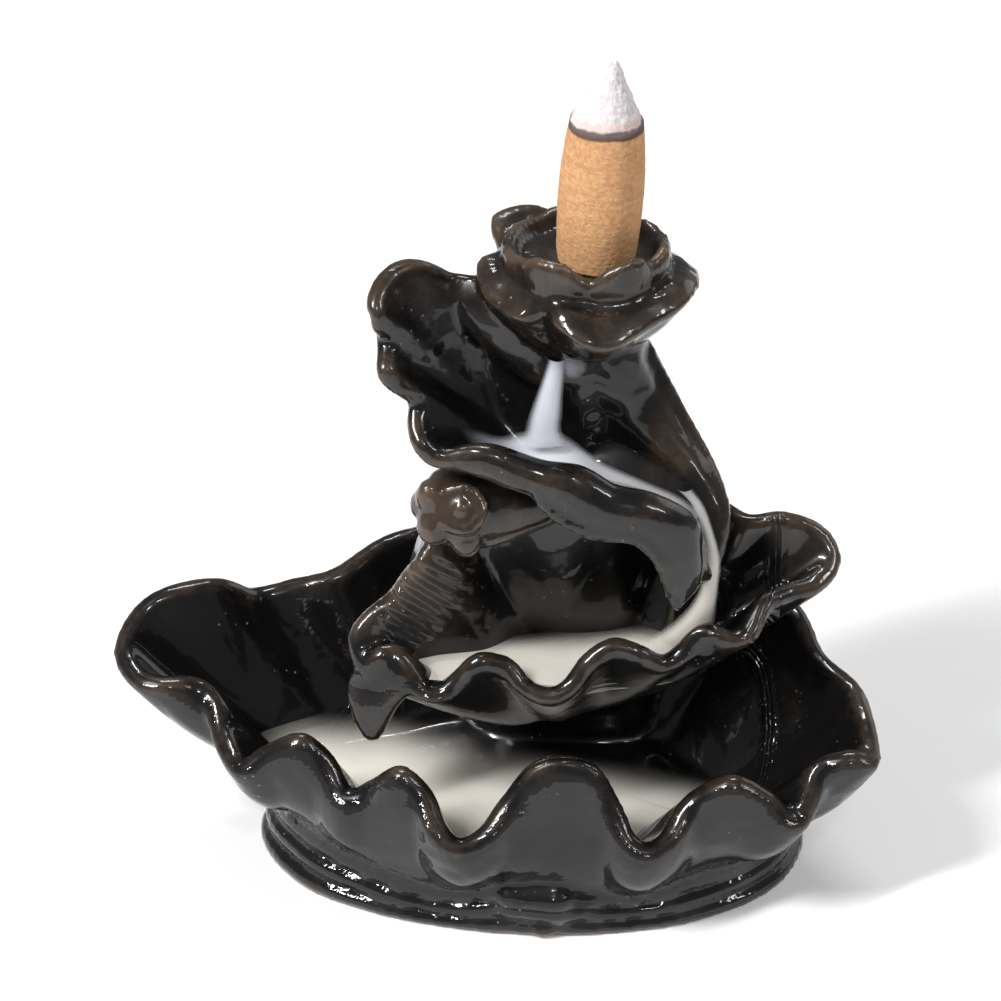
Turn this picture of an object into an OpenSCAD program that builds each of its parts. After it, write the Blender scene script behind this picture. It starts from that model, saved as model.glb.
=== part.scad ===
// Backflow incense burner: a glazed ceramic lotus-leaf fountain and the incense cone it burns.
// Smoke sinks out of the cone, runs down through the flower, over two leaves and into the basin.
// X runs to the right of the burner, Y to its back, Z up. All sizes are in millimetres.

/* [Overall form] */
// Width of the basin from the left tip to the right tip, over its lips
burner_width = 111; // [102:1:122]
// Depth of the basin from the front ruffles to the back rim, over its lips
burner_depth = 60; // [56:1:66]
// Height of the cup floor on which the cone stands
cup_height = 97; // [90:1:106]

/* [Casting] */
// Wall of the basin
basin_wall = 3.4; // [3:0.1:4]
// Wall of the two upper leaves
leaf_wall = 3; // [2.6:0.1:3.4]
// Height of the basin floor above the table
floor_height = 9; // [8:0.5:10]
// Depth of the unglazed recess under the foot
recess_depth = 3; // [2:0.5:4]

/* [Incense cone] */
// Largest diameter of the cone
cone_diameter = 12; // [11:0.5:13]
// Height of the cone
cone_height = 31; // [26:1:34]
// Diameter of the smoke bore up the base of the cone
bore_diameter = 3; // [2.5:0.1:3.5]
// Depth of the smoke bore
bore_depth = 14; // [10:1:16]
// Lean of the cone and its seat to the right, in degrees
cone_lean = 3.5; // [0:0.5:5]

/* [Smoke way] */
// Diameter of the duct from the cup floor to the outlet under the flower
duct_diameter = 4; // [3.6:0.1:4.4]
// Gap round the foot of the cone in the cup
seat_gap = 1.8; // [1.4:0.1:2.2]

/* [Hidden] */

glaze_colour = [0.07, 0.06, 0.055];
cone_colour = [0.79, 0.60, 0.38];

wide = (burner_width - basin_wall) / 107.6;
deep = (burner_depth - basin_wall) / 56.5;
tall = cup_height / 97;
cone_radius = cone_diameter / 2;
seat_radius = cone_radius + seat_gap;
cup_centre = [14.2 * wide, 1 * deep, cup_height];
flower_centre = cup_centre - [1.1, 0, 0];
outlet = [10.9 * wide, -8.4 * deep, 85.4 * tall];
foot_middle = [5.5, -1];
stem_radius = 7.4;
stem_drop = 12.5;
bud_curl = [-4.4, -13, 65.2];
curl_radius = 2.1;
waist_low = 5;
rim_droop = 1;

// Crests and troughs of the basin rim, counter-clockwise from the right tip.
basin_rim = [
  [53.8, -18.5, 25.5], [53, -12, 28], [51.5, -6, 29], [47, 0, 30], [44.5, 5, 33.5], [42, 10, 33.5],
  [39, 14, 30.5], [34, 17, 33], [29, 20, 34.5], [23, 24, 31], [16, 24, 33.5], [10, 25, 34.5],
  [3, 28, 31], [-3, 27.5, 32.5], [-9, 26.5, 34.5], [-16, 24, 34], [-23, 19.5, 31.5],
  [-29, 19, 30], [-35, 17.5, 29.5], [-40, 15, 33], [-47, 12, 33.5], [-51.5, 9.5, 31.5],
  [-53.8, 4.5, 28.5], [-51.5, 0, 27], [-48, -1.5, 27], [-43.5, -1, 26.5], [-40.5, -3, 24.5],
  [-39, -7.5, 21.5], [-36, -13, 20], [-32.5, -13, 22.5], [-27.5, -14, 25.5], [-24, -15, 23],
  [-21, -18.5, 18.5], [-17.5, -18.5, 20.5], [-13.5, -20.5, 24.5], [-10, -22.5, 22.5],
  [-8, -26, 19], [-5, -28, 17], [-1, -27, 18.5], [2, -24.5, 22], [5.5, -23, 26.5],
  [10, -23, 28], [14.5, -23.5, 26.5], [17, -25, 22], [19, -27.5, 18], [22, -28.5, 16.5],
  [25.5, -26.5, 18], [28.5, -23.5, 22], [33.5, -23.5, 25], [38.5, -23.5, 22.5],
  [42.5, -24, 18.5], [45, -22.5, 21], [46.5, -20, 25], [50.5, -19.5, 26.5]
];

// Radius of the foot on the table every 20 degrees, counter-clockwise from the right.
foot_radii = [40.5, 37.5, 32.5, 28.5, 25.5, 25, 26, 30, 36, 40, 37, 31, 27, 25.5, 26, 28.5, 33.5, 39];

// Height of the line where the basin meets the foot, every 20 degrees as above.
waist_heights = [8, 8, 8, 8, 8, 8, 8, 8, 8.5, 9.5, 10, 7.5, 6, 8.2, 8, 6, 7.5, 8];

// Rim of the lower leaf, counter-clockwise from the spout that curls down at its left.
lower_rim = [
  [-18, -11.5, 36], [-16.5, -11.5, 38.5], [-14.5, -11.5, 39.5], [-12.5, -12, 38],
  [-11, -13.5, 35.5], [-8.5, -14.5, 34.5], [-5.5, -13.5, 35.5], [-3, -13.5, 38.5],
  [-1, -13.5, 39.5], [2, -13.5, 38.5], [4.5, -15, 36], [8, -16, 35], [11, -15, 36],
  [13.5, -14, 39.5], [17, -13, 41.5], [21, -13.5, 40.5], [24, -13, 38.5], [27, -12.5, 40],
  [30, -12, 43.5], [33.5, -12.5, 42.5], [36.5, -11.5, 43], [38.5, -9, 46], [42, -6.5, 46.5],
  [46, -5, 47], [48.5, -1.5, 48.5], [46.5, 1, 51.5], [41.5, 1.5, 53.5], [36, 1, 53.5],
  [30, 7, 53], [13, 12, 52], [-2, 6, 55], [-7, -2, 55], [-9.5, -6, 52],
  [-12, -6, 48.5], [-14, -6, 45], [-17.5, -7.5, 42.5], [-19.5, -9, 39.5]
];

// Leaf end that curls down over the basin as a spout: upper edge, lower edge, thickness.
spout_curl = [
  [-13.5, -7, 38.5, -14.5, -8, 35, 2.4], [-17, -8, 38, -18.5, -10, 34, 2.6],
  [-18, -10, 38.5, -20, -12.5, 29.5, 3.2], [-16.5, -10.6, 40, -18.3, -14, 26, 3.4],
  [-14.5, -10.9, 40.6, -16, -14.5, 26.5, 3.4], [-12.8, -11.6, 39.5, -13.8, -13.6, 31, 4],
  [-11.6, -12, 37.5, -12, -12.8, 33.5, 4]
];

// Rim of the upper leaf, counter-clockwise seen from the front, from the shoulder by the flower.
upper_rim = [
  [20.5, 4, 82], [15, 6, 89], [5, 6, 91.5], [0, 4, 91], [-3.5, 3, 91.5], [-6, 2, 93.5],
  [-8.5, 1, 95.5], [-11, -1, 97], [-13.5, -3, 97], [-15.5, -5.5, 95.5], [-16, -8, 93],
  [-15, -5.5, 89.5], [-14.5, -7, 87], [-14.5, -10, 85], [-12, -10, 82.5], [-10, -8, 80],
  [-10.5, -10.5, 77.5], [-9.5, -13, 75], [-7, -13.5, 73.5], [-1, -13.5, 74.5], [6.5, -14, 72],
  [12, -14.5, 72], [17, -15.5, 69.5], [22, -15, 68.5], [27, -13.5, 64], [28.5, -12, 58],
  [29.3, -10, 52], [31, -7.5, 52], [32.3, -5, 57.5], [31.5, -2, 61.5], [29, 1, 66], [26, 2.5, 71],
  [23, 3.5, 77]
];

// Rolled margin that hangs in front of the upper pool: upper edge, lower edge, thickness.
rolled_margin = [
  [-8.5, -12.5, 74, -7, -11, 71, 2.2], [-4.5, -14, 75, -3, -12.5, 71, 3.2],
  [0, -14.3, 75.5, 1, -13.5, 69.3, 3.6], [6.5, -15, 73, 6.5, -14.5, 67.6, 3.4],
  [12, -15.7, 73.5, 10, -16, 65.3, 3.8], [17, -16.8, 70.7, 14.5, -16.3, 63.3, 3.8],
  [22, -16.3, 70, 19.5, -16.5, 63.2, 3.8], [27, -14.8, 65.8, 22, -16.3, 60.5, 3.8],
  [29.4, -13.3, 58, 23.7, -15.8, 57, 3.6], [29.2, -13, 53, 25, -15, 52.3, 3],
  [27.3, -14, 50.2, 26, -14.4, 50.2, 1.6]
];

// The shoulder that runs down from the flower behind the smoke's way.
shoulder = [
  [19.5, 0, 87, 8, 6, 88, 8], [22, 2, 78.5, 11, 0, 77, 8], [24, 3, 74, 14.5, -1, 72, 7.5],
  [28.3, 2, 67, 19.5, -2, 67.5, 7], [31.2, -1, 61.8, 25.5, -3.5, 63, 5.5],
  [32.3, -4, 58.5, 30, -6, 59, 3.4], [32, -6, 56, 31, -7, 56, 1.8]
];

// Foot of the smoke channel, which stands on the lower leaf: left edge, right edge, thickness.
channel_foot = [
  [27, -5, 57, 32, -3.4, 57, 3.4], [26, -4.5, 50, 32.3, -2.8, 50, 4], [25, -4, 43, 33, -2.2, 43, 4.4],
  [24, -4, 36, 34, -2, 37, 4.4]
];

// Web between the flower's stem and the left lobe: left edge, right edge, thickness.
web = [
  [-6, 2.5, 94, 9, 0, 93, 3], [-5.5, 0.5, 91, 10, -1.5, 89, 4.2], [-3.5, -0.5, 86.5, 12, -2.3, 85, 4.6],
  [0.5, -1.5, 82, 13, -2.5, 81, 4], [5.5, -2.3, 78.5, 13, -2.5, 78, 2.6]
];

// Gathered folds on the wall at the left of the lower leaf: upper end of the first and the last.
fold_first = [-7.6, -6, 52.6];
fold_last = [-15.6, -7.8, 43];
fold_fall = [3.6, 0.8, -4.8];
fold_count = 7;

// Centre and half sizes of the trunk at each height: x, y, z, half width, half depth.
trunk_rings = [
  [12, 15.5, 6, 19, 7], [12, 15.5, 13, 15, 6.5], [11, 14.5, 20, 14.5, 7.5], [10, 12, 28, 18, 9.5],
  [8, 9.5, 35, 21, 10.5], [7.5, 8.5, 42, 20, 10], [8, 7.5, 50, 18, 9.5], [9, 6.5, 58, 16.5, 9],
  [10.5, 6, 66, 15, 8.8], [11, 5.5, 74, 13.5, 8.6], [10, 4.5, 82, 11.5, 7.5], [12.5, 2, 89, 10, 8]
];

// Sections of the bud beside the upper leaf, from its knob to the stem: x, y, z, half height, half depth.
bud_rings = [
  [-10.8, -9.2, 64.5, 0.5, 0.5], [-10.3, -9.2, 64.4, 1.8, 1.7], [-9.4, -9.3, 64.3, 2.5, 2.3],
  [-8.5, -9.4, 63.7, 4.7, 3.7], [-6, -9.2, 63.1, 6, 5], [-2, -8.6, 62.2, 6, 5.6],
  [3, -7, 62, 5.4, 5.6], [10, -4, 62.4, 4.6, 5]
];

// Petals of the flower, counter-clockwise from the right tip of its collar. Each entry has the
// direction, reach and rise of the collar, then of the cup, from the middle of the cup floor.
petals = [
  [-18, 15.7, -2.4, -20, 11.2, 4], [0, 15.8, -3, -2, 10.9, 3.2], [19, 15.6, -4.2, 18, 11.2, 2.2],
  [36, 13.4, -4.6, 38, 10.9, 2.6], [58, 13.2, -4, 57, 10.2, 2.2], [78, 14.4, -3.2, 78, 10.6, 3],
  [98, 12.8, -2, 98, 10.3, 2.6], [116, 14.2, 0.6, 114, 10.8, 3.2], [130, 15.6, 1.4, 128, 10.3, 2.6],
  [147, 16.3, 1, 146, 10.8, 3.1], [162, 13.4, -1.4, 164, 11.2, 3.1], [178, 15.4, -0.8, 182, 11.3, 2.9],
  [194, 15.5, -2.6, 199, 11.4, 3.3], [209, 14.2, -3.8, 215, 10.7, 3.7], [226, 13.6, -3.8, 229, 10.9, 4.9],
  [240, 12.3, -2.6, 242, 10.8, 5.1], [252, 14.4, -2.6, 254, 10.4, 4.5], [268, 16.4, -4, 269.5, 9.5, 2.1],
  [282, 16.2, -4.8, 282, 10.3, 3.7], [298, 14.9, -4, 298, 10.9, 5.2], [312, 14.8, -3.2, 311, 11.1, 5.1],
  [327, 15.4, -2.8, 325, 10.7, 3.2]
];

// Point number i of a closed list.
function at(list, i) = list[(i + 4 * len(list)) % len(list)];

// Point number i of an open list, held at its ends.
function held(list, i) = list[max(0, min(len(list) - 1, i))];

function unit(v) = v / max(norm(v), 0.000001);

function mean(list) = [for (i = [0 : len(list) - 1]) 1] * list / len(list);

// Smooth curve between b and c, with a and d as their outer neighbours.
function curve(a, b, c, d, t) =
  0.5 * (2 * b + (c - a) * t + (2 * a - 5 * b + 4 * c - d) * t * t
  + (3 * b - a - 3 * c + d) * t * t * t);

// Closed smooth line through the given points.
function smooth_loop(points, steps) = [
  for (i = [0 : len(points) - 1])
    for (s = [0 : steps - 1])
      curve(at(points, i - 1), at(points, i), at(points, i + 1), at(points, i + 2), s / steps)
];

// Open smooth line through the given points.
function smooth_path(points, steps) = concat([
  for (i = [0 : len(points) - 2])
    for (s = [0 : steps - 1])
      curve(held(points, i - 1), points[i], points[i + 1], held(points, i + 2), s / steps)
], [points[len(points) - 1]]);

// Each point of a closed line averaged with its neighbours, which takes the ruffles out.
function calmed(points, reach) = [
  for (i = [0 : len(points) - 1]) mean([for (k = [-reach : reach]) at(points, i + k)])
];

// Smooth value at angle a of a list with one entry every 20 degrees.
function around(list, a) =
  let (turn = (a + 360) / 20, i = floor(turn))
  curve(at(list, i - 1), at(list, i), at(list, i + 1), at(list, i + 2), turn - i);

// Point of the foot outline at angle a, pulled in by the factor k, at height z.
function foot_point(a, k, z) = [
  (around(foot_radii, a) * k * cos(a) + foot_middle[0]) * wide,
  (around(foot_radii, a) * k * sin(a) + foot_middle[1]) * deep,
  z
];

// Angle at which a point lies from the middle of the foot.
function foot_angle(p) = atan2(p[1] / deep - foot_middle[1], p[0] / wide - foot_middle[0]);

function sized(points) = [for (p = points) [p[0] * wide, p[1] * deep, p[2] * tall]];

// Mid surface of a leaf: rows of points from near its heart, where it is calm, to its ruffled rim.
// Heights along the leaf's own upward direction follow a flat floor and then a rising curve.
function leaf_grid(rim, heart, up, stations, flat, bend) = let (calm = calmed(rim, 4)) [
  for (u = stations) [
    for (j = [0 : len(rim) - 1])
      let (
        p = calm[j] + (rim[j] - calm[j]) * pow(u, 1.5),
        lift = (p - heart) * up,
        out = (p - heart) - lift * up,
        rise = u <= flat ? 0 : pow((u - flat) / (1 - flat), bend)
      )
      heart + out * u + up * lift * rise
  ]
];

// Normal of the grid at row k and column j, on the leaf's upper side.
function grid_normal(grid, k, j) =
  unit(cross(held(grid, k + 1)[j] - held(grid, k - 1)[j], at(grid[k], j + 1) - at(grid[k], j - 1)));

// Closed rows round a leaf: its underside, its rounded lip, then its upper side.
function leaf_rows(grid, wall) =
  let (
    last = len(grid) - 1,
    count = len(grid[0]),
    normals = [
      for (k = [0 : last]) [
        for (j = [0 : count - 1]) grid_normal(grid, k, j)
      ]
    ],
    outward = [
      for (j = [0 : count - 1]) unit(grid[last][j] - grid[last - 1][j])
    ]
  )
  concat(
    [
      for (k = [0 : last]) [
        for (j = [0 : count - 1]) grid[k][j] - normals[k][j] * wall / 2
      ]
    ],
    [
      for (turn = [-45, 0, 45]) [
        for (j = [0 : count - 1])
          grid[last][j] + (outward[j] * cos(turn) + normals[last][j] * sin(turn)) * wall / 2
      ]
    ],
    [
      for (k = [last : -1 : 0]) [
        for (j = [0 : count - 1]) grid[k][j] + normals[k][j] * wall / 2
      ]
    ]
  );

// Solid inside closed rings of points that lie one after the other.
module skin(rows) {
  count = len(rows[0]);
  last = len(rows) - 1;
  polyhedron(
    points = concat([for (row = rows) each row], [mean(rows[0]), mean(rows[last])]),
    faces = concat(
      [
        for (i = [0 : last - 1])
          for (j = [0 : count - 1])
            each [
              [i * count + j, (i + 1) * count + j, (i + 1) * count + (j + 1) % count],
              [i * count + j, (i + 1) * count + (j + 1) % count, i * count + (j + 1) % count]
            ]
      ],
      [for (j = [0 : count - 1]) [(last + 1) * count, j, (j + 1) % count]],
      [for (j = [0 : count - 1]) [(last + 1) * count + 1, last * count + (j + 1) % count, last * count + j]]
    )
  );
}

// Band that follows pairs of edge points, each with its thickness.
module band(stations, steps, sides) {
  line = smooth_path(stations, steps);
  mids = [for (s = line) [(s[0] + s[3]) / 2 * wide, (s[1] + s[4]) / 2 * deep, (s[2] + s[5]) / 2 * tall]];
  skin([
    for (i = [0 : len(line) - 1])
      let (
        s = line[i],
        half = [(s[0] - s[3]) / 2 * wide, (s[1] - s[4]) / 2 * deep, (s[2] - s[5]) / 2 * tall],
        along = held(mids, i + 1) - held(mids, i - 1),
        across = unit(cross(along, half)) * s[6] / 2
      )
      [for (a = [0 : sides - 1]) mids[i] + half * cos(a * 360 / sides) + across * sin(a * 360 / sides)]
  ]);
}

// The basin: an outer wall from the waist of the foot to the ruffled rim, and the hollow inside it.
module basin() {
  rim = smooth_loop(sized(basin_rim), 2);
  calm = calmed(rim, 5);
  columns = [0 : len(rim) - 1];
  middle = [2 * wide, 0, floor_height];
  waist = [
    for (p = calm)
      let (a = foot_angle(p))
      foot_point(a, 0.93, around(waist_heights, a))
  ];
  slope = [for (j = columns) unit(rim[j] - waist[j])];
  inward = [for (j = columns) unit(cross(slope[j], at(rim, j + 1) - at(rim, j - 1)))];
  outer = [
    for (u = [0, 0.38, 0.74, 1])
      [
        for (j = columns)
          waist[j] + (rim[j] - inward[j] * basin_wall / 2 - waist[j]) * u - [0, 0, rim_droop * sin(180 * u)]
      ]
  ];
  lip = [
    for (turn = [-45, 0, 45])
      [for (j = columns) rim[j] + (slope[j] * cos(turn) + inward[j] * sin(turn)) * basin_wall / 2]
  ];
  inner = [
    for (u = [1, 0.8, 0.5, 0.2])
      [
        for (j = columns)
          let (
            low = middle + (calm[j] - middle) * 0.5,
            high = rim[j] + inward[j] * basin_wall / 2,
            flat = low + (high - low) * u
          )
          [flat[0], flat[1], floor_height + (high[2] - floor_height) * pow((u - 0.2) / 0.8, 1.25)]
      ]
  ];
  skin(concat([[for (p = waist) [p[0], p[1], waist_low]]], outer, lip, inner));
}

module foot() {
  // Each ring: share of the foot's radius, share of the waist's height.
  rings = [
    [0.985, 0], [1, 0.1], [0.994, 0.26], [0.953, 0.34], [0.978, 0.46], [0.972, 0.6],
    [0.932, 0.68], [0.955, 0.8], [0.943, 0.94], [0.9, 1.05]
  ];
  skin(concat(
    [
      [for (a = [0 : 12 : 348]) foot_point(a, 0.8, recess_depth)],
      [for (a = [0 : 12 : 348]) foot_point(a, 0.84, 0)]
    ],
    [
      for (ring = rings)
        [for (a = [0 : 12 : 348]) foot_point(a, ring[0], ring[1] * around(waist_heights, a))]
    ]
  ));
  // Knot where the ridges of the foot meet at the front, and the stalk below it.
  hull() {
    translate(sized([[3, -23.4, 5.2]])[0])
      sphere(d = 7, $fn = 10);
    translate(sized([[8.6, -24, 5]])[0])
      sphere(d = 7.4, $fn = 10);
  }
  hull() {
    translate(sized([[13, -25, 4.4]])[0])
      sphere(d = 2.6, $fn = 6);
    translate(sized([[7, -26.4, 1.4]])[0])
      sphere(d = 2.4, $fn = 6);
  }
}

module trunk() {
  skin([
    for (r = trunk_rings) [
      for (a = [0 : 15 : 345])
        [
          (r[0] + r[3] * cos(a) * (1 + 0.04 * sin(5 * a + 2 * r[2]))) * wide,
          (r[1] + r[4] * sin(a) * (1 + 0.06 * sin(5 * a + 2 * r[2]))) * deep,
          r[2] * tall
        ]
    ]
  ]);
}

module lower_leaf() {
  rim = smooth_loop(sized(lower_rim), 2);
  up = unit([-0.25, -0.1, 1]);
  heart = [9.5 * wide, -4.5 * deep, 27 * tall];
  skin(leaf_rows(leaf_grid(rim, heart, up, [0.32, 0.56, 0.8, 1], 0.3, 1.5), leaf_wall));
}

module upper_leaf() {
  rim = smooth_loop(sized(upper_rim), 2);
  up = unit([-0.1, -0.75, 0.65]);
  heart = [9 * wide, -2.8 * deep, 66 * tall];
  skin(leaf_rows(leaf_grid(rim, heart, up, [0.25, 0.5, 0.78, 1], 0.2, 1.4), leaf_wall));
}

// Point at a direction, a reach and a rise from the middle of the cup floor.
function spread(a, r, z) = [r * cos(a), r * sin(a), z];

// Lotus flower: a collar of spreading petals with an upright cup of ridged petals above it.
module flower() {
  edge = smooth_loop([for (p = petals) spread(p[0], p[1], p[2])], 3);
  lip = smooth_loop([for (p = petals) spread(p[3], p[4], p[5])], 3);
  columns = [0 : len(edge) - 1];
  out = [for (p = edge) unit([p[0], p[1], 0])];
  stem = [for (d = out) d * stem_radius - [0, 0, stem_drop]];
  valley = [for (j = columns) lip[j] * 1.04 + [0, 0, edge[j][2] * 0.3 - lip[j][2] * 1.04 - 0.2]];
  ridge = [for (j = columns) out[j] * (j % 2 == 0 ? 0.3 : -0.1)];
  translate(flower_centre)
    skin([
      stem,
      [for (j = columns) stem[j] * 0.46 + (edge[j] - [0, 0, 1.4]) * 0.54],
      [for (j = columns) edge[j] - out[j] * 0.9 - [0, 0, 1.4]],
      edge,
      [for (j = columns) edge[j] - out[j] * 1.1 + [0, 0, 0.9]],
      [for (j = columns) edge[j] * 0.45 + valley[j] * 0.55 + [0, 0, 0.9]],
      valley,
      [for (j = columns) lip[j] + out[j] * 0.5 + ridge[j] + [0, 0, (valley[j][2] - lip[j][2]) * 0.5]],
      [for (j = columns) lip[j] + out[j] * 0.3 + ridge[j] - [0, 0, 0.5]],
      [for (j = columns) lip[j] - out[j] * 0.9 - [0, 0, 0.2]],
      [for (j = columns) [lip[j][0] * 0.84, lip[j][1] * 0.84, 0.6]]
    ]);
}

// Bud: a pod that grows out of the stem, with a curled petal at its front.
module bud() {
  skin([
    for (r = bud_rings) [
      for (a = [0 : 30 : 330])
        [
          (r[0] + 0.18 * r[4] * cos(a)) * wide,
          (r[1] + r[4] * cos(a)) * deep,
          (r[2] + r[3] * sin(a)) * tall
        ]
    ]
  ]);
  translate(sized([bud_curl])[0])
    rotate([57, -20, 0]) {
      rotate_extrude($fn = 12)
        translate([curl_radius, 0])
          circle(d = 1.7, $fn = 6);
      sphere(d = 2.4, $fn = 8);
    }
}

module folds() {
  for (i = [0 : fold_count - 1])
    let (top = fold_first + (fold_last - fold_first) * i / (fold_count - 1))
    hull() {
      translate(sized([top])[0])
        sphere(d = 1.8, $fn = 6);
      translate(sized([top + fold_fall])[0])
        sphere(d = 2.6, $fn = 6);
    }
}

module smoke_duct() {
  bend = [cup_centre[0] - 0.6, -3 * deep, outlet[2] + 3.5];
  hull() {
    translate(cup_centre + [-0.4, -0.5, 2])
      sphere(d = duct_diameter, $fn = 10);
    translate(bend)
      sphere(d = duct_diameter, $fn = 10);
  }
  hull() {
    translate(bend)
      sphere(d = duct_diameter, $fn = 10);
    translate(outlet)
      sphere(d = duct_diameter, $fn = 10);
  }
}

module seat_cut() {
  translate(cup_centre)
    rotate([0, cone_lean, 0])
      cylinder(r = seat_radius, h = 12, $fn = 28);
}

module burner_body() {
  color(glaze_colour)
    difference() {
      union() {
        basin();
        foot();
        trunk();
        lower_leaf();
        upper_leaf();
        band(rolled_margin, 2, 8);
        band(shoulder, 2, 8);
        band(spout_curl, 2, 8);
        band(web, 2, 8);
        band(channel_foot, 2, 8);
        folds();
        flower();
        bud();
      }
      seat_cut();
      smoke_duct();
    }
}

module incense_cone() {
  profile = [
    [bore_diameter / 2, 0], [cone_radius * 0.82, 0], [cone_radius * 0.92, 0.8],
    [cone_radius, cone_height * 0.3], [cone_radius * 0.97, cone_height * 0.5],
    [cone_radius * 0.86, cone_height * 0.7], [cone_radius * 0.8, cone_height * 0.72],
    [cone_radius * 0.34, cone_height * 0.96], [cone_radius * 0.2, cone_height],
    [0, cone_height], [0, bore_depth], [bore_diameter / 2, bore_depth - 1]
  ];
  color(cone_colour)
    translate(cup_centre)
      rotate([0, cone_lean, 0])
        rotate_extrude($fn = 40)
          polygon(profile);
}

burner_body();
incense_cone();
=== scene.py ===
import math

import bmesh
import bpy
import numpy as np
from mathutils import Matrix, Vector, noise


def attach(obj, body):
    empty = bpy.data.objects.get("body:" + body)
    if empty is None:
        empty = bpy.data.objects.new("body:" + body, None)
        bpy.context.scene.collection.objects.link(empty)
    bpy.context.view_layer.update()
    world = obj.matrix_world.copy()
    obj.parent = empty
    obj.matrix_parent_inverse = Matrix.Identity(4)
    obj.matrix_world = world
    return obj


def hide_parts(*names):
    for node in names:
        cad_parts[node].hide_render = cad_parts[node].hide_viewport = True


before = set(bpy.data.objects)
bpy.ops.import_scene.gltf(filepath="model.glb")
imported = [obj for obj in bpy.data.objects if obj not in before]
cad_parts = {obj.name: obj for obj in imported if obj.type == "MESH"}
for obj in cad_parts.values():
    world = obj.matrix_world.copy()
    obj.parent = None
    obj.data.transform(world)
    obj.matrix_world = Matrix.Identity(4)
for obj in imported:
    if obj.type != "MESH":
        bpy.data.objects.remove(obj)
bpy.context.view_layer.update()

# Basin of the burner.
# The real one is a slip-cast ceramic dish shaped as a ruffled lotus leaf. Its wall is pulled up
# here as rings of clay, from the waist of the foot over the lip and down to the floor inside.
MM = 0.001
BASIN_WALL = 3.4
BELLY = 1.3
SAG = 0.6
ROOT_HEIGHT = 5.0
FLOOR_HEIGHT = 9.0
FLOOR_SHARE = 0.2
WALL_BEND = 1.25
RIM_STEPS = 6
BASIN_RIM = [
    (53.6, -18.5, 25.5), (53, -12, 28), (51.5, -6, 29), (47, 0, 30), (44.5, 5, 33.5), (42, 10, 33.5),
    (39, 14, 30.5), (34, 17, 33), (29, 20, 34.5), (23, 24, 31), (16, 24, 33.5), (10, 25, 34.5),
    (3, 27.9, 31), (-3, 27.4, 32.5), (-9, 26.5, 34.5), (-16, 24, 34), (-23, 19.5, 31.5),
    (-29, 19, 30), (-35, 17.5, 29.5), (-40, 15, 33), (-47, 12, 33.5), (-51.5, 9.5, 31.5),
    (-53.8, 4.5, 28.5), (-51.5, 0, 27), (-48, -1.5, 27), (-43.5, -1, 26.5), (-40.5, -3, 24.5),
    (-39, -7.5, 21.5), (-36, -13, 20), (-32.5, -13, 22.5), (-27.5, -14, 25.5), (-24, -15, 23),
    (-21, -18.5, 18.5), (-17.5, -18.5, 20.5), (-13.5, -20.5, 24.5), (-10, -22.5, 22.5),
    (-8, -26, 19), (-5, -28, 17), (-1, -27, 18.5), (2, -24.5, 22), (5.5, -23, 26.5),
    (10, -23, 28), (14.5, -23.5, 26.5), (17, -25, 22), (19, -27.5, 18), (22, -28.5, 16.5),
    (25.5, -26.5, 18), (28.5, -23.5, 22), (33.5, -23.5, 25), (38.5, -23.5, 22.5),
    (42.5, -24, 18.5), (45, -22.5, 21), (46.5, -20, 25), (50.5, -19.5, 26.5),
]
FOOT_MIDDLE = np.array([5.5, -1.0])
FOOT_RADII = [40.5, 37.5, 32.5, 28.5, 25.5, 25, 26, 30, 36, 40, 37, 31, 27, 25.5, 26, 28.5, 33.5, 39]
WAIST_HEIGHTS = [8, 8, 8, 8, 8, 8, 8, 8, 8.5, 9.5, 10, 7.5, 6, 8.2, 8, 6, 7.5, 8]
WAIST_SHARE = 0.93
BASIN_CALM = 15
LIP_ARC = np.radians(np.arange(-60, 61, 20))


def spline(before, start, end, after, t):
    """Point at share t of the smooth curve from start to end."""
    return 0.5 * (2 * start + (end - before) * t + (2 * before - 5 * start + 4 * end - after) * t ** 2
                  + (3 * start - before - 3 * end + after) * t ** 3)


def smooth_loop(points, steps):
    """Closed smooth line through the points of a rim."""
    p = np.array(points, float)
    t = (np.arange(steps) / steps)[:, None, None]
    line = spline(np.roll(p, 1, 0), p, np.roll(p, -1, 0), np.roll(p, -2, 0), t)
    return line.transpose(1, 0, 2).reshape(-1, p.shape[1])


def calmed(line, reach):
    """A closed line with its ruffles taken out: each point averaged with its neighbours."""
    return sum(np.roll(line, k, 0) for k in range(-reach, reach + 1)) / (2 * reach + 1)


def around(values, angles):
    """Smooth values at the angles, in degrees, of a list with one entry every 20 degrees."""
    v = np.array(values, float)
    turn = (np.asarray(angles) % 360) / 20
    i = np.floor(turn).astype(int)
    n = len(v)
    return spline(v[(i - 1) % n], v[i % n], v[(i + 1) % n], v[(i + 2) % n], turn - i)


def unit(v):
    """Directions of the vectors, each of length 1."""
    return v / np.maximum(np.linalg.norm(v, axis=-1, keepdims=True), 1e-9)


def foot_points(angles, share, height):
    """Points of the foot's outline, pulled in by a share of its radius, at a height."""
    turn = np.radians(angles)
    reach = around(FOOT_RADII, angles) * share
    return np.stack([FOOT_MIDDLE[0] + reach * np.cos(turn), FOOT_MIDDLE[1] + reach * np.sin(turn),
                     np.broadcast_to(height, turn.shape)], 1)


burner = bmesh.new()


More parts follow.
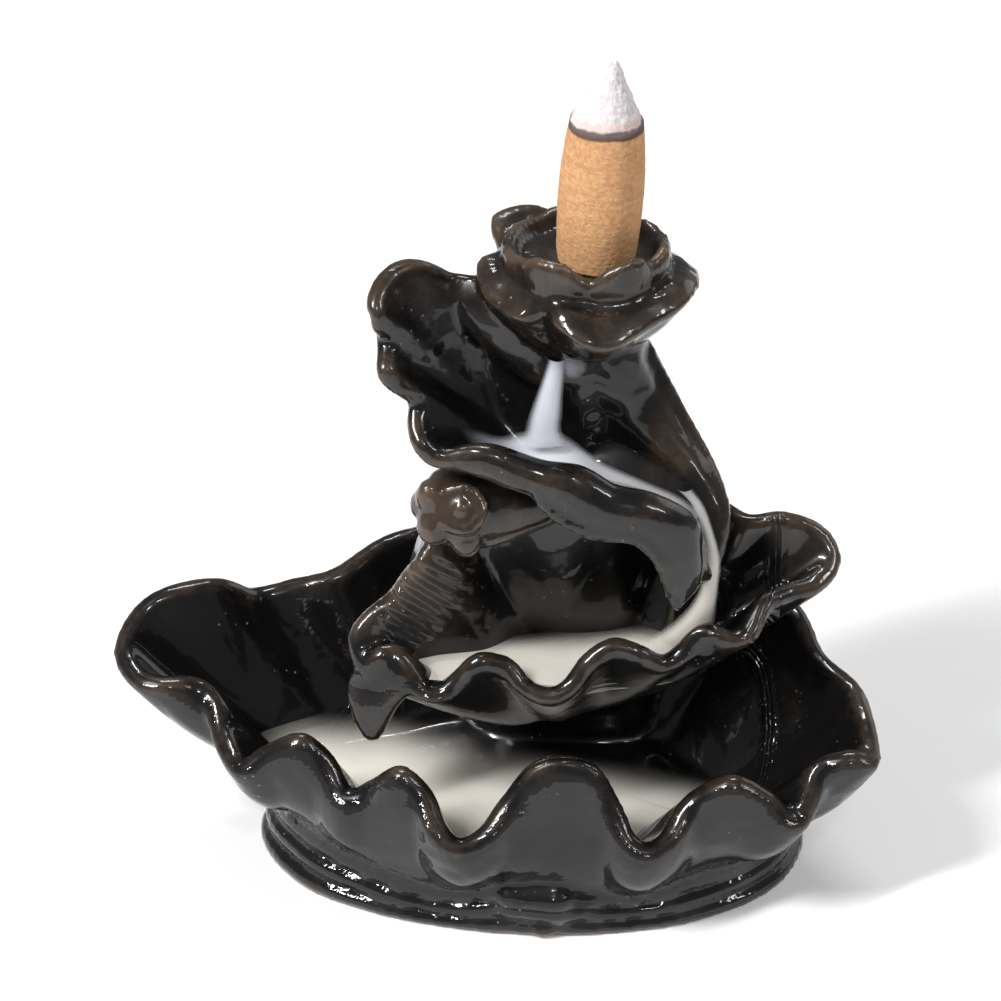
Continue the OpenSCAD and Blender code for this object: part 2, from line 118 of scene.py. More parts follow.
def pull_up(rings, clay=burner):
    """Pulls clay up from a disc, ring after ring, and closes it over the last ring."""
    ring = bmesh.ops.create_circle(clay, cap_ends=True, radius=1, segments=len(rings[0]))["verts"]
    for vert, point in zip(ring, rings[0]):
        vert.co = point
    caps = [ring[0].link_faces[0]]
    for points in rings[1:]:
        edges = [clay.edges.get(pair) for pair in zip(ring, ring[1:] + ring[:1])]
        drawn = bmesh.ops.extrude_edge_only(clay, edges=edges)["geom"]
        fresh = {item for item in drawn if isinstance(item, bmesh.types.BMVert)}
        ring = [next(e.other_vert(v) for e in v.link_edges if e.other_vert(v) in fresh) for v in ring]
        for vert, point in zip(ring, points):
            vert.co = point
    edges = [clay.edges.get(pair) for pair in zip(ring, ring[1:] + ring[:1])]
    caps += bmesh.ops.contextual_create(clay, geom=edges)["faces"]
    bmesh.ops.poke(clay, faces=caps)


rim = smooth_loop(BASIN_RIM, RIM_STEPS)
calm = calmed(rim, BASIN_CALM)
bearing = np.degrees(np.arctan2(calm[:, 1] - FOOT_MIDDLE[1], calm[:, 0] - FOOT_MIDDLE[0]))
waist = foot_points(bearing, WAIST_SHARE, around(WAIST_HEIGHTS, bearing))
slope = unit(rim - waist)
inward = unit(np.cross(slope, np.roll(rim, -1, 0) - np.roll(rim, 1, 0)))
rings = [waist * (1, 1, 0) + (0, 0, ROOT_HEIGHT)]
for u in np.linspace(0, 1, 14):
    rings.append(waist + (rim - inward * BASIN_WALL / 2 - waist) * u
                 - (inward * BELLY + (0, 0, SAG)) * math.sin(math.pi * u))
for turn in LIP_ARC:
    rings.append(rim + (slope * math.cos(turn) + inward * math.sin(turn)) * BASIN_WALL / 2)
floor_middle = np.array([2, 0, FLOOR_HEIGHT])
basin_low = floor_middle + (calm - floor_middle) * 0.5
basin_high = rim + inward * BASIN_WALL / 2
for u in np.linspace(1, 0.1, 16):
    flat = basin_low + (basin_high - basin_low) * u
    rise = max(0, (u - FLOOR_SHARE) / (1 - FLOOR_SHARE)) ** WALL_BEND
    flat[:, 2] = FLOOR_HEIGHT + (basin_high[:, 2] - FLOOR_HEIGHT) * rise
    rings.append(flat)
pull_up(rings)

# Foot under the basin.
# It is cast with the basin. Three soft ridges run round it, as of folded leaf stalks, and meet in
# a knot at the front. The ring round its hollow underside is left without glaze.
RECESS_DEPTH = 3.0
RECESS_TOP = 0.8
RECESS_MOUTH = 0.84
# Rings up the foot: the share of its radius, and how high on the way to the waist.
FOOT_RINGS = [
    (0.985, 0), (1, 0.1), (0.994, 0.24), (0.94, 0.33), (0.98, 0.43), (0.975, 0.57),
    (0.92, 0.67), (0.96, 0.77), (0.945, 0.92), (0.9, 1.05),
]
KNOT_COILS = [((3, -23.4, 5.2), (8.6, -24, 5), 7, 7.4), ((13, -25, 4.4), (7, -26.4, 1.4), 2.6, 2.4)]

angles = np.arange(0, 360, 3.0)
rings = [foot_points(angles, RECESS_TOP, RECESS_DEPTH), foot_points(angles, RECESS_MOUTH, 0.0)]
for share, rise in FOOT_RINGS:
    rings.append(foot_points(angles, share, rise * around(WAIST_HEIGHTS, angles)))
pull_up(rings)


def press_ball(centre, size):
    """Presses a ball of clay on, with its size along each axis."""
    place = Matrix.Translation(centre) @ Matrix.Diagonal((*size, 1))
    bmesh.ops.create_icosphere(burner, subdivisions=3, radius=0.5, matrix=place)


def roll_coil(start, end, thick, thin):
    """Lays a tapered coil of clay from start to end."""
    axis = Vector(end) - Vector(start)
    middle = (Vector(start) + Vector(end)) / 2
    place = Matrix.Translation(middle) @ axis.to_track_quat("Z", "Y").to_matrix().to_4x4()
    bmesh.ops.create_cone(burner, cap_ends=True, segments=16, radius1=thick / 2, radius2=thin / 2,
                          depth=axis.length, matrix=place)
    press_ball(start, (thick,) * 3)
    press_ball(end, (thin,) * 3)


# The knot, and the end of the stalk that runs out of it: start, end and both thicknesses.
for coil in KNOT_COILS:
    roll_coil(*coil)

# Trunk at the back.
# The stem that carries the two upper leaves and the flower. It is part of the same casting and
# stands in the basin near its back rim.
# Rings of the trunk: middle, half width and half depth.
TRUNK_RINGS = [
    (12, 15.5, 6, 19, 7), (12, 15.5, 13, 15, 6.5), (11, 14.5, 20, 14.5, 7.5), (10, 12, 28, 18, 9.5),
    (8, 9.5, 35, 21, 10.5), (7.5, 8.5, 42, 20, 10), (8, 7.5, 50, 18, 9.5), (9, 6.5, 58, 16.5, 9),
    (10.5, 6, 66, 15, 8.8), (11, 5.5, 74, 13.5, 8.6), (10, 4.5, 82, 11.5, 7.5), (12.5, 2, 89, 10, 8),
]


def smooth_path(points, steps):
    """Points, or whole rows of points, drawn in smoothly between the given ones."""
    p = np.array(points, float)
    p = np.concatenate([p[:1], p, p[-1:]])
    return np.array([spline(*p[i:i + 4], s / steps) for i in range(len(p) - 3) for s in range(steps)]
                    + [p[-1]])


turn = np.radians(np.arange(0, 360, 5.0))
rings = []
for x, y, z, half_width, half_depth in smooth_path(TRUNK_RINGS, 4):
    swell = np.sin(5 * turn + math.radians(2 * z))
    rings.append(np.stack([x + half_width * np.cos(turn) * (1 + 0.04 * swell),
                           y + half_depth * np.sin(turn) * (1 + 0.06 * swell),
                           np.full(turn.shape, z)], 1))
pull_up(rings)

# Lower leaf, which catches the smoke of the upper one.
# A ruffled leaf dish with a fat rolled lobe at its right. At its left the leaf end curls down as
# a spout over the basin, and the wall behind it is gathered in short folds.
LEAF_WALL = 3.0
LOWER_RIM = [
    (-18, -11.5, 36), (-16.5, -11.5, 38.5), (-14.5, -11.5, 39.5), (-12.5, -12, 38),
    (-11, -13.5, 35.5), (-8.5, -14.5, 34.5), (-5.5, -13.5, 35.5), (-3, -13.5, 38.5),
    (-1, -13.5, 39.5), (2, -13.5, 38.5), (4.5, -15, 36), (8, -16, 35), (11, -15, 36),
    (13.5, -14, 39.5), (17, -13, 41.5), (21, -13.5, 40.5), (24, -13, 38.5), (27, -12.5, 40),
    (30, -12, 43.5), (33.5, -12.5, 42.5), (36.5, -11.5, 43), (38.5, -9, 46), (42, -6.5, 46.5),
    (46, -5, 47), (48.5, -1.5, 48.5), (46.5, 1, 51.5), (41.5, 1.5, 53.5), (36, 1, 53.5),
    (30, 7, 53), (13, 12, 52), (-2, 6, 55), (-7, -2, 55), (-9.5, -6, 52),
    (-12, -6, 48.5), (-14, -6, 45), (-17.5, -7.5, 42.5), (-19.5, -9, 39.5),
]
SPOUT_CURL = [
    (-13.5, -7, 38.5, -14.5, -8, 35, 2.4), (-17, -8, 38, -18.5, -10, 34, 2.6),
    (-18, -10, 38.5, -20, -12.5, 29.5, 3.2), (-16.5, -10.6, 40, -18.3, -14, 26, 3.4),
    (-14.5, -10.9, 40.6, -16, -14.5, 26.5, 3.4), (-12.8, -11.6, 39.5, -13.8, -13.6, 31, 4),
    (-11.6, -12, 37.5, -12, -12.8, 33.5, 4),
]
FOLD_FIRST = np.array([-7.6, -6, 52.6])
FOLD_LAST = np.array([-15.6, -7.8, 43])
FOLD_FALL = np.array([3.6, 0.8, -4.8])
FOLD_COUNT = 7
FOLD_TOP = 1.9
FOLD_END = 1.2
LEAF_CALM = 12


def shape_leaf(rim_points, heart, upward, flat, bend, start):
    """Dish that rises from a flat heart to a ruffled rim, with a rounded lip all round."""
    rim = smooth_loop(rim_points, RIM_STEPS)
    calm = calmed(rim, LEAF_CALM)
    heart, upward = np.array(heart, float), unit(np.array(upward, float))
    grid = []
    for u in np.linspace(start, 1, 16):
        line = calm + (rim - calm) * u ** 1.5
        lift = ((line - heart) @ upward)[:, None] * upward
        grid.append(heart + (line - heart - lift) * u + lift * max(0, (u - flat) / (1 - flat)) ** bend)
    grid = np.array(grid)
    along = np.gradient(grid, axis=0)
    across = np.roll(grid, -1, 1) - np.roll(grid, 1, 1)
    face = unit(np.cross(along, across))
    outward = unit(grid[-1] - grid[-2])
    rings = list(grid - face * LEAF_WALL / 2)
    for turn in LIP_ARC:
        rings.append(grid[-1] + (outward * math.cos(turn) + face[-1] * math.sin(turn)) * LEAF_WALL / 2)
    rings += list((grid + face * LEAF_WALL / 2)[::-1])
    pull_up(rings)


def lay_band(stations, steps=8, sides=20):
    """Rounded band through pairs of edge points, each pair with its thickness."""
    line = smooth_path(stations, steps)
    middle = (line[:, 0:3] + line[:, 3:6]) / 2
    half = (line[:, 0:3] - line[:, 3:6]) / 2
    along = np.gradient(middle, axis=0)
    across = unit(np.cross(along, half)) * line[:, 6:7] / 2
    turn = np.linspace(0, 2 * math.pi, sides, endpoint=False)
    pull_up([m + np.outer(np.cos(turn), h) + np.outer(np.sin(turn), a)
             for m, h, a in zip(middle, half, across)])


shape_leaf(LOWER_RIM, heart=(9.5, -4.5, 27), upward=(-0.25, -0.1, 1), flat=0.3, bend=1.5, start=0.32)
lay_band(SPOUT_CURL)
for share in np.linspace(0, 1, FOLD_COUNT):
    fold_top = FOLD_FIRST + (FOLD_LAST - FOLD_FIRST) * share
    roll_coil(fold_top, fold_top + FOLD_FALL, FOLD_TOP, FOLD_END)

# Upper leaf, which catches the smoke under the flower.
# It stands steeply, with a scalloped lobe at its left. Its front margin is rolled and hangs over
# as a tongue, and a shoulder runs down at its right, so that the smoke has a channel between them.
UPPER_RIM = [
    (20.5, 4, 82), (15, 6, 89), (5, 6, 91.5), (0, 4, 91), (-3.5, 3, 91.5), (-6, 2, 93.5),
    (-8.5, 1, 95.5), (-11, -1, 97), (-13.5, -3, 97), (-15.5, -5.5, 95.5), (-16, -8, 93),
    (-15, -5.5, 89.5), (-14.5, -7, 87), (-14.5, -10, 85), (-12, -10, 82.5), (-10, -8, 80),
    (-10.5, -10.5, 77.5), (-9.5, -13, 75), (-7, -13.5, 73.5), (-1, -13.5, 74.5), (6.5, -14, 72),
    (12, -14.5, 71.4), (17, -15.5, 68.6), (22, -15, 67.2), (27, -13.5, 63.2), (28.5, -12, 58),
    (29.3, -10, 52), (31, -7.5, 52), (32.3, -5, 57.5), (31.5, -2, 61.5), (29, 1, 66), (26, 2.5, 71),
    (23, 3.5, 77),
]
# Bands, each a list of both edges of the band and its thickness.
ROLLED_MARGIN = [
    (-8.5, -12.5, 74, -7, -11, 71, 2.2), (-4.5, -14, 75, -3, -12.5, 71, 3.2),
    (0, -14.3, 75.5, 1, -13.5, 69.3, 3.6), (6.5, -15, 73, 6.5, -14.5, 67.6, 3.4),
    (12, -15.7, 72.6, 10, -16, 65.3, 3.6), (17, -16.8, 69.4, 14.5, -16.3, 63.3, 3.6),
    (22, -16.3, 68.4, 19.5, -16.5, 62.8, 3.6), (27, -14.8, 64.8, 22, -16.3, 60.5, 3.6),
    (29.4, -13.3, 58, 23.7, -15.8, 57, 3.6), (29.2, -13, 53, 25, -15, 52.3, 3),
    (27.3, -14, 50.2, 26, -14.4, 50.2, 1.6),
]
SHOULDER = [
    (19.5, 0, 87, 8, 6, 88, 8), (22, 2, 78.5, 11, 0, 77, 8), (24, 3, 74, 14.5, -1, 72, 7.5),
    (28.3, 2, 67, 19.5, -2, 67.5, 7), (31.2, -1, 61.8, 25.5, -3.5, 63, 5.5),
    (32.3, -4, 58.5, 30, -6, 59, 3.4), (32, -6, 56, 31, -7, 56, 1.8),
]
CHANNEL_FOOT = [
    (27, -5, 57, 32, -3.4, 57, 3.4), (26, -4.5, 50, 32.3, -2.8, 50, 4),
    (25, -4, 43, 33, -2.2, 43, 4.4), (24, -4, 36, 34, -2, 37, 4.4),
]
WEB = [
    (-6, 2.5, 94, 9, 0, 93, 3), (-5.5, 0.5, 91, 10, -1.5, 89, 4.2), (-3.5, -0.5, 86.5, 12, -2.3, 85, 4.6),
    (0.5, -1.5, 82, 13, -2.5, 81, 4), (5.5, -2.3, 78.5, 13, -2.5, 78, 2.6),
]
BEAD_OUT = 1.2
BEAD_THICKNESS = 1.6

shape_leaf(UPPER_RIM, heart=(9, -2.8, 66), upward=(-0.1, -0.75, 0.65), flat=0.2, bend=1.4, start=0.25)
lay_band(ROLLED_MARGIN)
# The bead along the lower edge of the rolled margin.
bead = smooth_path([station[3:6] for station in ROLLED_MARGIN[3:]], 3) - (0, BEAD_OUT, 0)
for start, end in zip(bead, bead[1:]):
    roll_coil(start, end, BEAD_THICKNESS, BEAD_THICKNESS)
lay_band(SHOULDER)
lay_band(CHANNEL_FOOT)
lay_band(WEB)

# Bud beside the upper leaf.
# A closed lotus bud in the same clay: a pod that grows out of the stem, with a lumpy head and a
# curled petal pressed on at its front.
BUD_CURL = Vector((-4.2, -14.0, 65.6))
CURL_RADIUS = 3.0
CURL_THICKNESS = 1.6
CURL_BALL = 2.8
# Rings of the pod: middle, half height and half depth.
BUD_RINGS = [
    (-10.8, -9.2, 64.5, 0.5, 0.5), (-10.3, -9.2, 64.4, 1.8, 1.7), (-9.4, -9.3, 64.3, 2.5, 2.3),
    (-8.5, -9.4, 63.7, 4.7, 3.7), (-6, -9.2, 63.1, 6, 5), (-2, -8.6, 62.2, 6, 5.6),
    (3, -7, 62, 5.4, 5.6), (10, -4, 62.4, 4.6, 5),
]
# The lumps of the head: where each lies and how wide it is.
BUD_LUMPS = [((-8.6, -11.6, 66.2), 4.4), ((-8.2, -12.6, 61.8), 5), ((-3.6, -13.6, 60.2), 4.6),
             ((-9.6, -9.6, 63.4), 4.2)]

turn = np.radians(np.arange(0, 360, 9.0))
pull_up([np.stack([x + 0.18 * half_depth * np.cos(turn), y + half_depth * np.cos(turn),
                   z + half_height * np.sin(turn)], 1)
         for x, y, z, half_height, half_depth in smooth_path(BUD_RINGS, 4)])
curl_tilt = Matrix.Rotation(math.radians(-20), 3, "Y") @ Matrix.Rotation(math.radians(57), 3, "X")
rings = []
for way in np.radians(np.arange(0, 361, 10)):
    ray = np.array([math.cos(way), math.sin(way), 0])
    section = (np.outer(np.cos(turn), ray) + np.outer(np.sin(turn), (0, 0, 1))) * CURL_THICKNESS / 2
    rings.append(np.array(BUD_CURL) + (ray * CURL_RADIUS + section) @ np.array(curl_tilt).T)
pull_up(rings)
press_ball(BUD_CURL, (CURL_BALL,) * 3)
for centre, width in BUD_LUMPS:
    press_ball(centre, (width, width, width * 1.2))

# Lotus flower that holds the cone.
# A collar of spreading petals droops round the stem, and a cup of upright ridged petals stands
# in it. The floor of the cup has the hole of the smoke duct.
CUP_CENTRE = np.array([14.2, 1.0, 97.0])
FLOWER_CENTRE = CUP_CENTRE - (1.1, 0, 0)
STEM_RADIUS = 7.4
STEM_DROP = 12.5
SEAT_RADIUS = 7.8
CONE_LEAN = math.radians(3.5)
PETAL_STEPS = 12
# Each petal: direction, reach and rise of its tip in the collar, then of the one in the cup.
PETALS = [
    (-18, 15.7, -2.4, -20, 11.2, 4), (0, 15.8, -3, -2, 10.9, 3.2), (19, 15.6, -4.2, 18, 11.2, 2.2),
    (36, 13.4, -4.6, 38, 10.9, 2.6), (58, 13.2, -4, 57, 10.2, 2.2), (78, 14.4, -3.2, 78, 10.6, 3),
    (98, 12.8, -2, 98, 10.3, 2.6), (116, 14.2, 0.6, 114, 10.8, 3.2), (130, 15.6, 1.4, 128, 10.3, 2.6),
    (147, 16.3, 1, 146, 10.8, 3.1), (162, 13.4, -1.4, 164, 11.2, 3.1), (178, 15.4, -0.8, 182, 11.3, 2.9),
    (194, 15.5, -2.6, 199, 11.4, 3.3), (209, 14.2, -3.8, 215, 10.7, 3.7), (226, 13.6, -3.8, 229, 10.9, 4.9),
    (240, 12.3, -2.6, 242, 10.8, 5.1), (252, 14.4, -2.6, 254, 10.4, 4.5), (268, 16.4, -4, 269.5, 9.5, 2.1),
    (282, 16.2, -4.8, 282, 10.3, 3.7), (298, 14.9, -4, 298, 10.9, 5.2), (312, 14.8, -3.2, 311, 11.1, 5.1),
    (327, 15.4, -2.8, 325, 10.7, 3.2),
]
# The duct: from the cup floor, round its bend, to the outlet under the front of the collar.
DUCT = [(13.8, 0.5, 101), (13.8, -0.8, 94), (13.6, -3, 88.9), (10.9, -8.4, 85.4), (9.8, -10.6, 84)]
DUCT_RADIUS = 2.0
CUP_EDGE = [(1, 0.5), (1, 0), (0.6, 0)]


def petal_tips(columns):
    """Smooth line through the petal tips, from their directions, reaches and rises."""
    way = np.radians([petal[columns] for petal in PETALS])
    reach = np.array([petal[columns + 1] for petal in PETALS])
    rise = np.array([petal[columns + 2] for petal in PETALS])
    return smooth_loop(np.stack([reach * np.cos(way), reach * np.sin(way), rise], 1), PETAL_STEPS)


def set_out(name, data):
    """Puts what was modelled, or a lamp or the camera, into the scene as an object."""
    if isinstance(data, bmesh.types.BMesh):
        mesh = bpy.data.meshes.new(name)
        data.to_mesh(mesh)
        data.free()
        data = mesh
    item = bpy.data.objects.new(name, data)
    bpy.context.scene.collection.objects.link(item)
    return item


def harden(name, clay):
    """Sets modelled clay out in metres, with its faces turned outwards."""
    bmesh.ops.scale(clay, vec=(MM,) * 3, verts=clay.verts)
    bmesh.ops.recalc_face_normals(clay, faces=clay.faces)
    return set_out(name, clay)


# Rows of the flower: up the stem, over the edge of the collar, and over the lip into the cup.
up = np.array([0, 0, 1.0])
edge, lip = petal_tips(0), petal_tips(3)
out = unit(edge * (1, 1, 0))
stem = out * STEM_RADIUS - up * STEM_DROP
valley = lip * (1.04, 1.04, 0) + (edge[:, 2:] * 0.3 - 0.2) * up
ridge = out * (0.1 + 0.2 * np.cos(np.arange(len(edge)) * math.pi / 4))[:, None]
rows = [
    stem, stem * 0.46 + (edge - up * 1.4) * 0.54, edge - out * 0.9 - up * 1.4, edge,
    edge - out * 1.1 + up * 0.9, edge * 0.45 + valley * 0.55 + up * 0.9, valley,
    lip + out * 0.5 + ridge + (valley - lip) * (0, 0, 0.5), lip + out * 0.3 + ridge - up * 0.5,
    lip - out * 0.9 - up * 0.2, lip * (0.84, 0.84, 0) + up * 0.6,
]
rows = list(smooth_path(rows, 3) + FLOWER_CENTRE)
lean = np.array(Matrix.Rotation(CONE_LEAN, 3, "Y"))
for share, rise in CUP_EDGE:
    rows.append(CUP_CENTRE + (out * SEAT_RADIUS * share + up * rise) @ lean.T)
pull_up(rows)

duct = bmesh.new()
path = smooth_path(DUCT, 6)
along = unit(np.gradient(path, axis=0))
sideways = unit(np.cross(along, (1, 0, 0)))
turn = np.radians(np.arange(0, 360, 15))
pull_up([p + (np.outer(np.cos(turn), s) + np.outer(np.sin(turn), np.cross(a, s))) * DUCT_RADIUS
         for p, a, s in zip(path, along, sideways)], duct)
duct_pin = harden("smoke_duct", duct)

# Firing the burner.
# All the clay becomes one closed body with soft joints. Its glaze is nearly black where it lies
# thick and breaks to iron brown where it runs thin over crests and lips.
VOXEL = 0.71
SOFTEN_ROUNDS = 3
# How often the body is smoothed, to find its crests and its broad swellings.
CREST_ROUNDS = 10
SWELL_ROUNDS = 60
# Where the glaze lies thin and shows brown: the middle, the reach and how strongly.
THIN_PLACES = [((13, 0, 98), 18, 0.7), ((-6, -11, 63.5), 9, 1.0), ((-11, -8, 47), 9, 0.8),
               ((28, 0, 69), 8, 0.8), ((-8, -3, 95), 10, 0.4), ((47, 0, 50), 8, 0.5)]
# How often a marking is averaged with its neighbours, where that is more than twice.
SPREAD_ROUNDS = {"strand": 8, "flow": 8}
PETAL_REACH = 18.0
RIDGES_FROM = 93.5
FOOT_BAND = 0.86
FOOT_STRANDS = 3
FOOT_FLOW = 0.15
BASIN_FLOW = 0.35
BASIN_TOP = 36

fired = harden("burner_clay", burner)
remesh = fired.modifiers.new("one_body", "REMESH")
remesh.mode = "VOXEL"
remesh.voxel_size = VOXEL * MM
pierce = fired.modifiers.new("duct_hole", "BOOLEAN")
pierce.operation = "DIFFERENCE"
pierce.object = duct_pin
soften = fired.modifiers.new("soft_joints", "SMOOTH")
soften.factor = 0.5
soften.iterations = SOFTEN_ROUNDS
body_mesh = bpy.data.meshes.new_from_object(fired.evaluated_get(bpy.context.evaluated_depsgraph_get()))
bpy.data.objects.remove(fired)
bpy.data.objects.remove(duct_pin)
burner_piece = set_out("glazed_burner", body_mesh)


def vertex_array(mesh, name="co"):
    """Places of a mesh's vertices, or their normals."""
    values = np.empty(len(mesh.vertices) * 3)
    mesh.vertices.foreach_get(name, values)
    return values.reshape(-1, 3)


def relaxed(mesh, values, rounds):
    """Values on the vertices, averaged with their neighbours a number of times."""
    pairs = np.empty(len(mesh.edges) * 2, int)
    mesh.edges.foreach_get("vertices", pairs)
    a, b = pairs.reshape(-1, 2).T
    count = len(mesh.vertices)
    shares = np.bincount(a, minlength=count) + np.bincount(b, minlength=count)
    for _ in range(rounds):
        total = [np.bincount(a, col[b], count) + np.bincount(b, col[a], count) for col in values.T]
        values = 0.5 * values + 0.5 * (np.array(total) / shares).T
    return values


points = vertex_array(body_mesh)
facing = vertex_array(body_mesh, "normal")
fine = relaxed(body_mesh, points, CREST_ROUNDS)
broad = relaxed(body_mesh, fine, SWELL_ROUNDS)
from_stem = np.linalg.norm((points / MM - FLOWER_CENTRE)[:, :2], axis=1)
petal = np.clip((PETAL_REACH - from_stem) / 2, 0, 1) * np.clip((points[:, 2] / MM - RIDGES_FROM) / 6, 0, 1)
thin = np.zeros(len(points))
for middle, reach, strength in THIN_PLACES:
    gap = np.linalg.norm(points / MM - middle, axis=1) / reach
    thin = np.maximum(thin, strength * np.clip(1.5 - gap, 0, 1))
bearing = np.degrees(np.arctan2(points[:, 1] / MM - FOOT_MIDDLE[1], points[:, 0] / MM - FOOT_MIDDLE[0]))
strand = points[:, 2] / MM / around(WAIST_HEIGHTS, bearing)
reach = np.linalg.norm(points[:, :2] / MM - FOOT_MIDDLE, axis=1) / around(FOOT_RADII, bearing)
strand = np.where(reach > FOOT_BAND, np.clip(strand, 0, 1), 0)
# Gathered folds behind the spout: how far along the row, and how much of each fold is left.
row = FOLD_LAST - FOLD_FIRST
along = (points / MM - FOLD_FIRST) @ row / (row @ row)
past = points / MM - FOLD_FIRST - along[:, None] * row
down = past @ FOLD_FALL / (FOLD_FALL @ FOLD_FALL)
off = np.linalg.norm(past - down[:, None] * FOLD_FALL, axis=1)
gathered = (np.clip(1.6 - np.abs(down - 0.4) * 1.8, 0, 1) * np.clip((1.15 - np.abs(along * 2 - 1)) * 6, 0, 1)
            * np.clip(2 - off / 4, 0, 1) * (facing[:, 1] < 0.3))
# The glaze flows in waves over the outer walls, and lies calm on the foot and inside the basin.
flow = np.where((strand > 0) & (strand < 1), FOOT_FLOW, 1.0)
flow = np.where((points[:, 2] < BASIN_TOP * MM) & (facing[:, 2] > 0.25), BASIN_FLOW, flow)
crest = np.einsum("ij,ij->i", points - fine, facing) / MM
swell = np.einsum("ij,ij->i", points - broad, facing) / MM
for name, values in [("flow", flow), ("fold", along), ("gathered", gathered), ("strand", strand),
                     ("crest", crest), ("swell", swell), ("petal", petal), ("thin", thin)]:
    values = relaxed(body_mesh, values[:, None], SPREAD_ROUNDS.get(name, 2))[:, 0]
    body_mesh.attributes.new(name, "FLOAT", "POINT").data.foreach_set("value", values)
body_mesh.shade_smooth()


class Wire:
    """An output of a material's node, with the sums that the finishes need."""

    def __init__(self, finish, socket):
        self.finish = finish
        self.socket = socket

    def sum_with(self, operation, first, second=0.0):
        return self.finish.node("Math", {"operation": operation}, {0: first, 1: second})

    def __add__(self, other):
        return self.sum_with("ADD", self, other)

    def __sub__(self, other):
        return self.sum_with("SUBTRACT", self, other)

    def __rsub__(self, other):
        return self.sum_with("SUBTRACT", other, self)

    def __mul__(self, other):
        return self.sum_with("MULTIPLY", self, other)

    __radd__ = __add__
    __rmul__ = __mul__

    def sine(self):
        return self.sum_with("SINE", self)

    def size(self):
        return self.sum_with("ABSOLUTE", self)

    def axis(self, number):
        """One of the three measures of a place or a direction."""
        return self.finish.node("SeparateXYZ", None, {"Vector": self}, out=number)

    def clamped(self, low, high):
        """The value spread from low..high to 0..1."""
        return self.finish.node("MapRange", {"clamp": True, "interpolation_type": "SMOOTHSTEP"},
                                {"Value": self, "From Min": low, "From Max": high})


class Finish:
    """A material and the nodes that it is wired from."""

    def __init__(self, name):
        self.material = bpy.data.materials.new(name)
        self.material.use_nodes = True
        self.tree = self.material.node_tree
        self.tree.nodes.clear()

    def node(self, kind, settings=None, sockets=None, out=0):
        """Adds a node: first its settings, then the values or wires of its sockets."""
        made = self.tree.nodes.new("ShaderNode" + kind)
        for name, value in (settings or {}).items():
            setattr(made, name, value)
        for name, value in (sockets or {}).items():
            socket = made.inputs[name] if isinstance(name, int) else next(
                s for s in made.inputs if name in (s.identifier, s.name))
            if isinstance(value, Wire):
                self.tree.links.new(value.socket, socket)
            else:
                socket.default_value = value
        return Wire(self, made.outputs[out]) if made.outputs else None

    def place(self):
        """Places on the object, in metres."""
        return self.node("TexCoord", out=3)

    def marking(self, name):
        """Values that the mesh carries on its vertices."""
        return self.node("Attribute", {"attribute_name": name}, out=2)

    def clouds(self, place, scale, detail, roughness=0.5, distortion=0.0):
        """Soft random values from 0 to 1."""
        return self.node("TexNoise", None, {"Vector": place, "Scale": scale, "Detail": detail,
                                            "Roughness": roughness, "Distortion": distortion})

    def blend(self, share, first, second):
        """Colour between first and second."""
        return self.node("Mix", {"data_type": "RGBA"},
                         {"Factor_Float": share, "A_Color": first, "B_Color": second}, out=2)

    def surface(self, **sockets):
        """The surface itself, wired to the material's output."""
        names = {key.replace("_", " "): value for key, value in sockets.items()}
        shader = self.node("BsdfPrincipled", None, names)
        self.node("OutputMaterial", None, {"Surface": shader})
        return self.material


# Colours of the glaze: where it lies thick, where it lies thin and on crests, then pale specks that are
# painted glints of light in tiny bubbles. Last the clay without glaze.
THICK_GLAZE = (0.0045, 0.0040, 0.0042, 1)
THIN_GLAZE = (0.045, 0.030, 0.021, 1)
CREST_GLAZE = (0.095, 0.064, 0.042, 1)
PAINTED_GLINT = (0.25, 0.23, 0.20, 1)
BARE_CLAY = (0.36, 0.25, 0.17, 1)

glaze = Finish("tenmoku_glaze")
place = glaze.place()
crest, swell, petal, strand, thin, fold, gathered, flow = [
    glaze.marking(name) for name in ("crest", "swell", "petal", "strand", "thin", "fold", "gathered", "flow")]
cloud = glaze.clouds(place, 160.0, 4.0, 0.6)
fine = glaze.clouds(place, 900.0, 3.0, 0.6)
edge = (crest + (cloud - 0.5) * 0.6 + (fine - 0.5) * 0.25).clamped(0.08, 0.5)
cast = (swell * 0.2 + (cloud - 0.5) * 1.3 + (fine - 0.5) * 0.3 + thin * 0.7).clamped(0.1, 1.0)
# Painted glints: pale specks, in patches, put into the colour for light caught in tiny bubbles of the glaze.
# They also raise the surface a little.
glint_spot = glaze.node("TexVoronoi", {"feature": "F1"}, {"Vector": place, "Scale": 700.0, "Randomness": 1.0})
glint_patch = glaze.clouds(place, 130.0, 2.0).clamped(0.56, 0.66)
glint_speck = (1 - glint_spot.clamped(0.08, 0.16)) * glint_patch
colour = glaze.blend(cast, THICK_GLAZE, THIN_GLAZE)
colour = glaze.blend(edge * (0.35 + thin * 0.5), colour, CREST_GLAZE)
# Here the painted glints are laid into the colour.
colour = glaze.blend(glint_speck * 0.6, colour, PAINTED_GLINT)
centred = glaze.node("VectorMath", {"operation": "SUBTRACT"}, {0: place, 1: tuple(FLOWER_CENTRE * MM)})
bearing = centred.sum_with("ARCTAN2", centred.axis(1), centred.axis(0))
veins = (bearing * 58 + cloud * 11).sine() * petal
ripple = glaze.clouds(place, 220.0, 2.0, 0.45)
wave = glaze.clouds(place, 68.0, 1.5, distortion=0.9)
pleats = (fold * (2 * math.pi * (FOLD_COUNT - 1)) + math.pi / 2 + cloud * 1.5).sine() * gathered
ropes = (strand * (math.pi * FOOT_STRANDS)).sine().size() * 2.0
relief = (wave * 1.9 + ripple * 0.2) * flow + glint_speck * 0.03 + veins * 0.02 + ropes * 0.2 + pleats * 0.3
bump = glaze.node("Bump", None, {"Strength": 1.0, "Distance": 0.001, "Height": relief})
height = place.axis(2) * 1000
facing_down = 0 - glaze.node("NewGeometry", out=1).axis(2)
